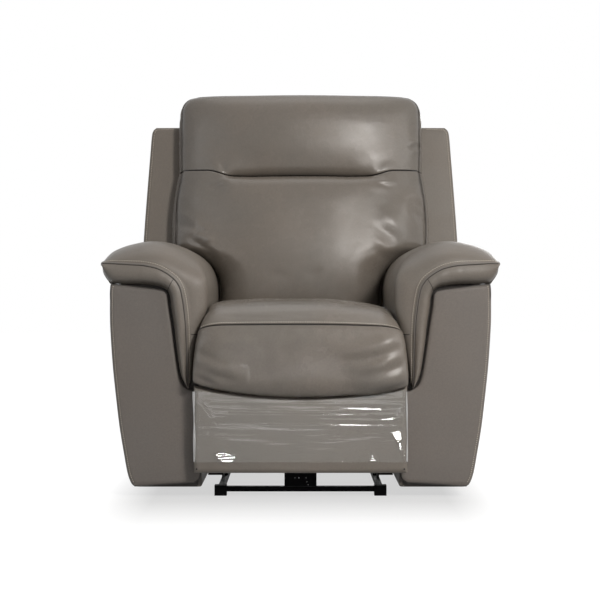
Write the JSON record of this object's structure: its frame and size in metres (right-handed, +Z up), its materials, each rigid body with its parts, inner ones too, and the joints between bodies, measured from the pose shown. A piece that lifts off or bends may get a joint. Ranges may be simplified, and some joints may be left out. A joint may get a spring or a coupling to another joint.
{
  "type": "power recliner armchair",
  "caption": "Leather power recliner armchair with padded arms, winged back with head and lumbar pillows, reclining back and a fold-out footrest.",
  "frame": {"origin": "on the floor under the middle of the chair's outline", "axes": "+X to the sitter's left, -Y out of the front, +Z up"},
  "size_m": [0.979, 0.9266, 1.0681],
  "materials": {
    "leather": "taupe-grey top-grain leather with a soft sheen and tan top-stitching",
    "black_steel": "satin black powder coat",
    "plywood": "raw plywood",
    "spring_steel": "oiled spring wire",
    "rod_steel": "bright ground rod",
    "black_plastic": "moulded black",
    "rubber_feet": "moulded end feet",
    "clear_film": "thin clear protective film, wrinkled"
  },
  "bodies": {
    "base": {"base_rail_left": "black_steel", "base_rail_right": "black_steel", "front_cross_tube": "black_steel", "rear_cross_tube": "black_steel", "front_foot_left": "rubber_feet", "front_foot_right": "rubber_feet", "rear_foot_left": "rubber_feet", "rear_foot_right": "rubber_feet", "motor_bracket": "black_steel", "arm_body_left": "leather", "arm_body_right": "leather", "arm_front_panel_left": "leather", "arm_front_panel_right": "leather", "arm_pad_left": "leather", "arm_pad_right": "leather", "arm_bracket_front_left": "black_steel", "arm_bracket_front_right": "black_steel", "arm_bracket_rear_left": "black_steel", "arm_bracket_rear_right": "black_steel", "control_panel": "black_plastic", "power_inlet": "black_plastic"},
    "open_button": {"open_button": "black_plastic"},
    "close_button": {"close_button": "black_plastic"},
    "front_swing": {"front_swing_link_left": "black_steel", "front_swing_link_right": "black_steel"},
    "rear_swing": {"rear_swing_link_left": "black_steel", "rear_swing_link_right": "black_steel"},
    "seat": {"seat_side_plate_left": "black_steel", "seat_side_plate_right": "black_steel", "seat_frame": "plywood", "seat_spring_1": "spring_steel", "seat_spring_2": "spring_steel", "seat_spring_3": "spring_steel", "seat_spring_4": "spring_steel", "seat_cushion": "leather"},
    "backrest": {"back_board": "plywood", "back_hinge_frame": "black_steel", "back_wing_left": "leather", "back_wing_right": "leather", "back_shell": "leather", "lumbar_cushion": "leather", "head_cushion": "leather"},
    "drive_links": {"torque_tube": "black_steel", "drive_link_left": "black_steel", "drive_link_right": "black_steel"},
    "long_links": {"long_link_left": "black_steel", "long_link_right": "black_steel"},
    "steady_links": {"steady_link_left": "black_steel", "steady_link_right": "black_steel"},
    "lower_links": {"lower_link_left": "black_steel", "lower_link_right": "black_steel"},
    "footrest": {"footrest_bracket_left": "black_steel", "footrest_bracket_right": "black_steel", "footrest_board": "plywood", "footrest_panel": "leather", "footrest_film": "clear_film"},
    "actuator": {"actuator_motor": "black_plastic", "actuator_tube": "black_steel"},
    "actuator_rod": {"actuator_rod": "rod_steel"}
  },
  "joints": [
    {"name": "recline", "type": "hinge", "parent": "seat", "child": "backrest", "pos_m": [0, 0.23666, 0.3], "axis": [-1, 0, 0], "range_deg": [0, 40]},
    {"name": "front_swing_pivot", "type": "hinge", "parent": "base", "child": "front_swing", "pos_m": [0, -0.13834, 0.095], "axis": [1, 0, 0], "range_deg": [0, 29.1]},
    {"name": "rear_swing_pivot", "type": "hinge", "parent": "base", "child": "rear_swing", "pos_m": [0, 0.11666, 0.095], "axis": [1, 0, 0], "range_deg": [0, 29.1]},
    {"name": "seat_glide_pivot", "type": "hinge", "parent": "front_swing", "child": "seat", "pos_m": [0, -0.1083, 0.21118], "axis": [1, 0, 0], "range_deg": [-29.1, 0]},
    {"name": "footrest_drive", "type": "hinge", "parent": "seat", "child": "drive_links", "pos_m": [0, -0.33334, 0.235], "axis": [-1, 0, 0], "range_deg": [0, 139.2]},
    {"name": "footrest_elbow", "type": "hinge", "parent": "drive_links", "child": "long_links", "pos_m": [0, -0.21692, 0.09772], "axis": [-1, 0, 0], "range_deg": [-113.6, 0]},
    {"name": "footrest_tilt", "type": "hinge", "parent": "long_links", "child": "footrest", "pos_m": [0, -0.38915, 0.15005], "axis": [-1, 0, 0], "range_deg": [0, 59.4]},
    {"name": "steady_link_pivot", "type": "hinge", "parent": "seat", "child": "steady_links", "pos_m": [0, -0.29454, 0.216], "axis": [-1, 0, 0], "range_deg": [0, 138.8]},
    {"name": "lower_link_pivot", "type": "hinge", "parent": "drive_links", "child": "lower_links", "pos_m": [0, -0.21115, 0.08164], "axis": [-1, 0, 0], "range_deg": [-115.2, 0]},
    {"name": "actuator_pivot", "type": "hinge", "parent": "base", "child": "actuator", "pos_m": [0, -0.30334, 0.095], "axis": [1, 0, 0], "range_deg": [0, 1.9]},
    {"name": "actuator_stroke", "type": "slide", "parent": "actuator", "child": "actuator_rod", "axis": [0, -0.9651, -0.262], "range_m": [0, 0.0991]},
    {"name": "open_button_press", "type": "slide", "parent": "base", "child": "open_button", "axis": [1, 0, 0], "range_m": [0, 0.0015], "stiffness_N_per_m": 500, "springref_m": -0.001},
    {"name": "close_button_press", "type": "slide", "parent": "base", "child": "close_button", "axis": [1, 0, 0], "range_m": [0, 0.0015], "stiffness_N_per_m": 500, "springref_m": -0.001}
  ],
  "couplings": [
    {"joint": "front_swing_pivot", "follows": "recline", "ratio": 0.725},
    {"joint": "rear_swing_pivot", "follows": "recline", "ratio": 0.725},
    {"joint": "seat_glide_pivot", "follows": "recline", "ratio": -0.725},
    {"joint": "actuator_pivot", "follows": "recline", "ratio": 0.045},
    {"joint": "actuator_stroke", "follows": "recline", "m_per_rad": 0.1414},
    {"joint": "footrest_elbow", "follows": "footrest_drive", "ratio": -0.81466},
    {"joint": "footrest_tilt", "follows": "footrest_drive", "ratio": 0.42529},
    {"joint": "steady_link_pivot", "follows": "footrest_drive", "ratio": 0.99526},
    {"joint": "lower_link_pivot", "follows": "footrest_drive", "ratio": -0.82586}
  ]
}
